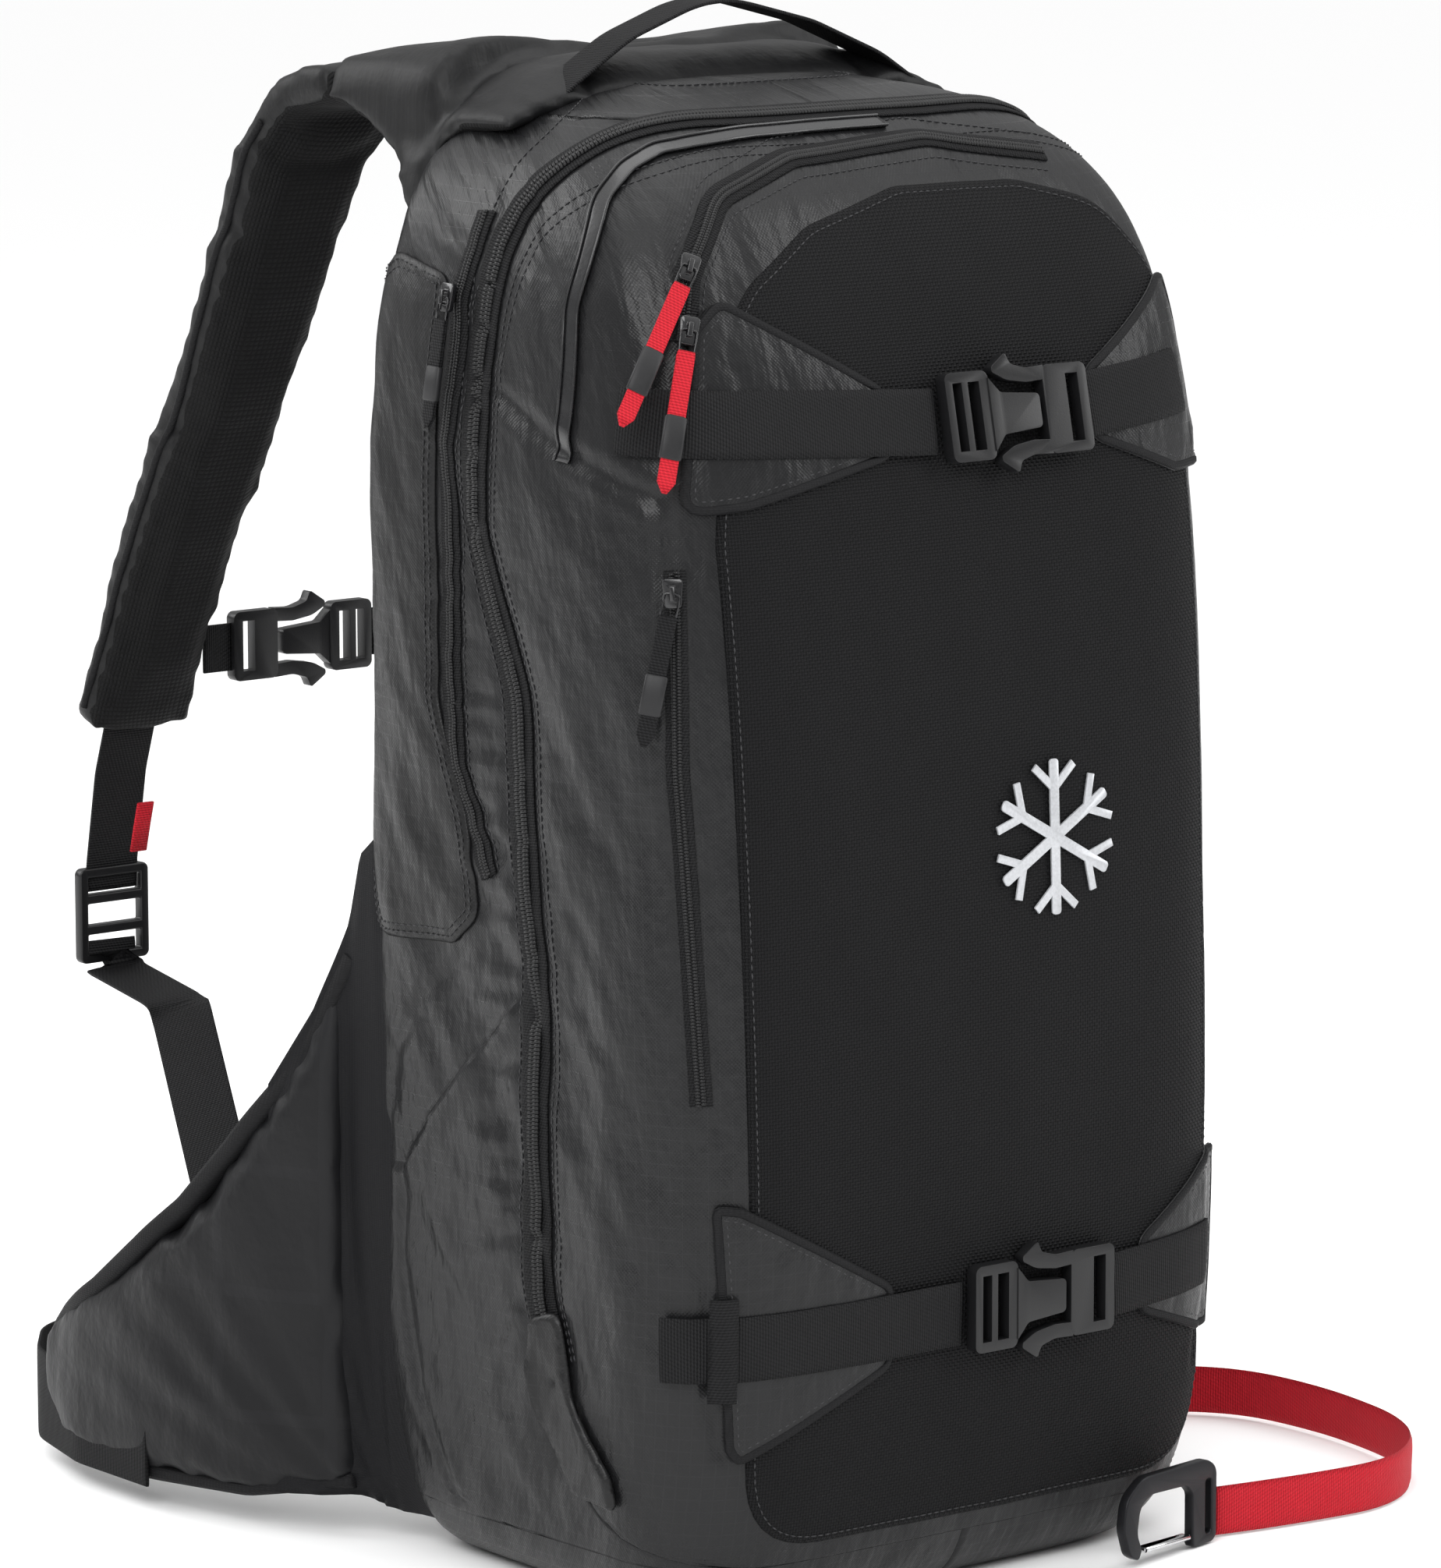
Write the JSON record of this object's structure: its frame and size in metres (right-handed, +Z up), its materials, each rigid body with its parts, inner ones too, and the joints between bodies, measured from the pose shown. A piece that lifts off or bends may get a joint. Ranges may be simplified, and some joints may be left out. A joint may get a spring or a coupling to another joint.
{
  "type": "ski backpack",
  "caption": "Tall ski touring backpack with a clamshell front, shoulder harness, hip belt, buckled compression straps, zips and a red leg strap with a hook.",
  "frame": {"origin": "middle of the flat base, on the ground", "axes": "+Z up, the front panel faces -Y, the harness and wearer are on +Y, the wearer's left is -X"},
  "size_m": [0.4507, 0.4662, 0.6053],
  "materials": {
    "shell_fabric": "coated ripstop, satin",
    "ballistic_fabric": "coarse plain weave",
    "stretch_fabric": "smooth knit",
    "coated_tape": "glossy coating",
    "spacer_mesh": "spacer mesh",
    "black_webbing": "ribbed webbing",
    "red_webbing": "ribbed webbing",
    "zip_tape": "coil zip",
    "buckle_plastic": "fine texture",
    "slider_metal": "gloss black",
    "foam_board": "sheet plastic",
    "bladder_fabric": "folded coated nylon",
    "blower_plastic": "moulded",
    "impeller_plastic": "moulded",
    "emblem_print": "silver transfer print",
    "hook_alloy": "black anodised",
    "gate_wire": "polished wire"
  },
  "bodies": {
    "pack": {"base_shell": "shell_fabric", "divider_panel": "foam_board", "frame_sheet": "foam_board", "airbag_bladder": "bladder_fabric", "blower_housing": "blower_plastic", "back_pad": "spacer_mesh", "yoke": "shell_fabric", "shoulder_strap_left": "stretch_fabric", "shoulder_strap_right": "stretch_fabric", "lower_webbing_left": "black_webbing", "lower_webbing_right": "black_webbing", "grab_handle": "black_webbing", "main_zip_rear": "zip_tape", "airbag_zip": "zip_tape", "side_flap": "shell_fabric", "leg_strap": "red_webbing", "leg_hook": "hook_alloy"},
    "front_bag": {"front_shell": "shell_fabric", "front_panel": "ballistic_fabric", "coated_strip": "coated_tape", "main_zip_front": "zip_tape", "zip_garage": "stretch_fabric", "pocket_zip": "zip_tape", "side_zip": "zip_tape", "top_wing_left": "shell_fabric", "top_wing_right": "shell_fabric", "low_wing_left": "shell_fabric", "low_wing_right": "shell_fabric", "top_strap_left": "black_webbing", "low_strap_left": "black_webbing", "emblem": "emblem_print"},
    "impeller": {"blower_impeller": "impeller_plastic"},
    "main_slider": {"main_zip_slider": "slider_metal"},
    "airbag_slider": {"airbag_zip_slider": "slider_metal"},
    "airbag_pull": {"airbag_zip_pull": "black_webbing"},
    "pocket_slider_upper": {"pocket_upper_slider": "slider_metal"},
    "pocket_pull_upper": {"pocket_upper_pull": "red_webbing"},
    "pocket_slider_lower": {"pocket_lower_slider": "slider_metal"},
    "pocket_pull_lower": {"pocket_lower_pull": "red_webbing"},
    "side_slider": {"side_zip_slider": "slider_metal"},
    "side_pull": {"side_zip_pull": "black_webbing"},
    "top_strap_end": {"top_strap_right": "black_webbing", "top_buckle_male": "buckle_plastic"},
    "top_buckle_socket": {"top_buckle_female": "buckle_plastic"},
    "low_strap_end": {"low_strap_right": "black_webbing", "low_buckle_male": "buckle_plastic"},
    "low_buckle_socket": {"low_buckle_female": "buckle_plastic"},
    "lock_left": {"ladder_lock_left": "buckle_plastic"},
    "lock_right": {"ladder_lock_right": "buckle_plastic"},
    "sternum_left": {"sternum_webbing_left": "black_webbing", "sternum_buckle_male": "buckle_plastic"},
    "sternum_right": {"sternum_webbing_right": "black_webbing", "sternum_buckle_female": "buckle_plastic"},
    "wing_left": {"hip_wing_left": "stretch_fabric", "hip_webbing_left": "black_webbing", "hip_buckle_male": "buckle_plastic"},
    "wing_right": {"hip_wing_right": "stretch_fabric", "hip_webbing_right": "black_webbing", "hip_buckle_female": "buckle_plastic"},
    "gate": {"hook_gate": "gate_wire"}
  },
  "joints": [
    {"name": "front_open", "type": "hinge", "parent": "pack", "child": "front_bag", "pos_m": [0, -0.098, 0.024], "axis": [1, 0, 0], "range_deg": [0, 38]},
    {"name": "impeller_spin", "type": "hinge", "parent": "pack", "child": "impeller", "pos_m": [0, 0.062, 0.33], "axis": [0, 1, 0], "continuous": true},
    {"name": "main_zip_slide", "type": "slide", "parent": "pack", "child": "main_slider", "axis": [0, 0.01, 1], "range_m": [0, 0.03]},
    {"name": "airbag_zip_slide", "type": "slide", "parent": "pack", "child": "airbag_slider", "axis": [-0.161, 0.0208, -0.9867], "range_m": [0, 0.03]},
    {"name": "airbag_pull_swing", "type": "hinge", "parent": "airbag_slider", "child": "airbag_pull", "pos_m": [-0.14418, 0.03702, 0.49801], "axis": [0.0095, 0.9993, 0.0367], "range_deg": [0, 80]},
    {"name": "pocket_upper_slide", "type": "slide", "parent": "front_bag", "child": "pocket_slider_upper", "axis": [0.4992, 0.2926, 0.8156], "range_m": [0, 0.008]},
    {"name": "pocket_upper_pull_swing", "type": "hinge", "parent": "pocket_slider_upper", "child": "pocket_pull_upper", "pos_m": [-0.11015, -0.07067, 0.51578], "axis": [-0.7408, 0.5007, 0.4478], "range_deg": [0, 70]},
    {"name": "pocket_lower_slide", "type": "slide", "parent": "front_bag", "child": "pocket_slider_lower", "axis": [0.337, 0.2149, 0.9167], "range_m": [0, 0.004]},
    {"name": "pocket_lower_pull_swing", "type": "hinge", "parent": "pocket_slider_lower", "child": "pocket_pull_lower", "pos_m": [-0.11639, -0.07827, 0.49326], "axis": [-0.868, 0.4403, 0.2298], "range_deg": [0, 45]},
    {"name": "side_zip_slide", "type": "slide", "parent": "front_bag", "child": "side_slider", "axis": [-0.0267, -0.0832, -0.9962], "range_m": [0, 0.03]},
    {"name": "side_pull_swing", "type": "hinge", "parent": "side_slider", "child": "side_pull", "pos_m": [-0.13251, -0.08805, 0.3975], "axis": [-0.7238, 0.6646, 0.1855], "range_deg": [0, 80]},
    {"name": "top_strap_swing", "type": "hinge", "parent": "front_bag", "child": "top_strap_end", "pos_m": [0.118, -0.0852, 0.458], "axis": [0, 0.2079, 0.9781], "range_deg": [0, 95]},
    {"name": "top_socket_swing", "type": "hinge", "parent": "front_bag", "child": "top_buckle_socket", "pos_m": [-0.0065, -0.0954, 0.453], "axis": [0, -0.2079, -0.9781], "range_deg": [0, 60]},
    {"name": "low_strap_swing", "type": "hinge", "parent": "front_bag", "child": "low_strap_end", "pos_m": [0.122, -0.1014, 0.116], "axis": [0, 0, 1], "range_deg": [0, 95]},
    {"name": "low_socket_swing", "type": "hinge", "parent": "front_bag", "child": "low_buckle_socket", "pos_m": [-0.0065, -0.1126, 0.113], "axis": [0, 0, -1], "range_deg": [0, 60]},
    {"name": "lock_left_tilt", "type": "hinge", "parent": "pack", "child": "lock_left", "pos_m": [-0.099, 0.336, 0.23], "axis": [1, 0, 0], "range_deg": [-20, 20]},
    {"name": "lock_right_tilt", "type": "hinge", "parent": "pack", "child": "lock_right", "pos_m": [0.099, 0.336, 0.23], "axis": [1, 0, 0], "range_deg": [-20, 20]},
    {"name": "sternum_left_swing", "type": "hinge", "parent": "pack", "child": "sternum_left", "pos_m": [-0.0696, 0.309, 0.325], "axis": [0, 0, 1], "range_deg": [0, 70]},
    {"name": "sternum_right_swing", "type": "hinge", "parent": "pack", "child": "sternum_right", "pos_m": [0.0696, 0.309, 0.325], "axis": [0, 0, -1], "range_deg": [0, 80]},
    {"name": "wing_left_swing", "type": "hinge", "parent": "pack", "child": "wing_left", "pos_m": [-0.138, 0.105, 0.13], "axis": [0, 0, 1], "range_deg": [0, 35]},
    {"name": "wing_right_swing", "type": "hinge", "parent": "pack", "child": "wing_right", "pos_m": [0.138, 0.105, 0.13], "axis": [0, 0, -1], "range_deg": [0, 35]},
    {"name": "gate_open", "type": "hinge", "parent": "pack", "child": "gate", "pos_m": [0.10274, -0.112, 0.005], "axis": [-0.2079, 0.9781, 0], "range_deg": [0, 28], "stiffness_Nm_per_rad": 0.02, "springref_deg": -11.46}
  ]
}
